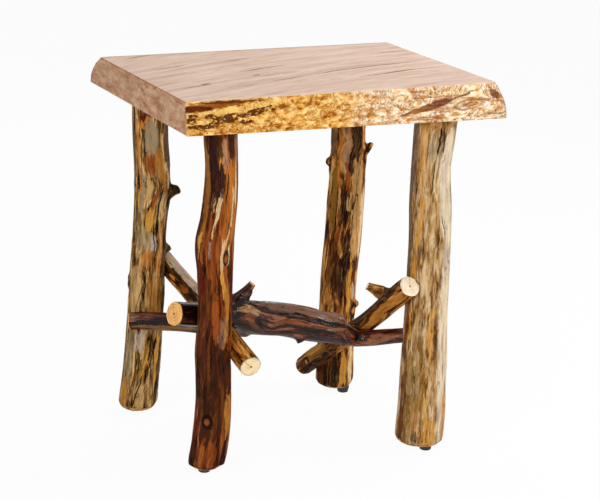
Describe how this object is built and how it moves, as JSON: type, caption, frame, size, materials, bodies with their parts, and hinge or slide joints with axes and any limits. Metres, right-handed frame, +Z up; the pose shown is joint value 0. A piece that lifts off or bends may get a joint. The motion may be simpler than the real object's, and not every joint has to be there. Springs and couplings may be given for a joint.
{
  "type": "side table",
  "caption": "Rustic side table: thick live-edge slab top on peeled log legs, tied by a forked log and crossing branch stretchers, standing on low glides.",
  "frame": {"origin": "on the floor under the centre of the table's outline", "axes": "+Z up, +X along the slab's length to the right as seen from the front, +Y to the back"},
  "size_m": [0.528, 0.4381, 0.61],
  "materials": {
    "slab_wood": "clear gloss varnish",
    "chestnut_log": "clear gloss varnish",
    "pale_log": "clear gloss varnish",
    "grey_tan_log": "clear gloss varnish",
    "brown_log": "clear gloss varnish",
    "dark_branch": "clear gloss varnish",
    "golden_branch": "clear gloss varnish",
    "glide_rubber": "satin",
    "zinc_screw": "zinc plated",
    "dark_screw": "black coated"
  },
  "bodies": {
    "root": {"tabletop": "slab_wood", "leg_front_left": "chestnut_log", "leg_front_right": "pale_log", "leg_back_left": "grey_tan_log", "leg_back_right": "brown_log", "main_stretcher": "dark_branch", "left_cross_stretcher": "golden_branch", "right_cross_stretcher": "golden_branch", "glide_front_left": "glide_rubber", "glide_front_right": "glide_rubber", "glide_back_left": "glide_rubber", "glide_back_right": "glide_rubber", "glide_screws": "zinc_screw", "lap_screws": "dark_screw", "long_screws": "dark_screw"}
  },
  "joints": []
}
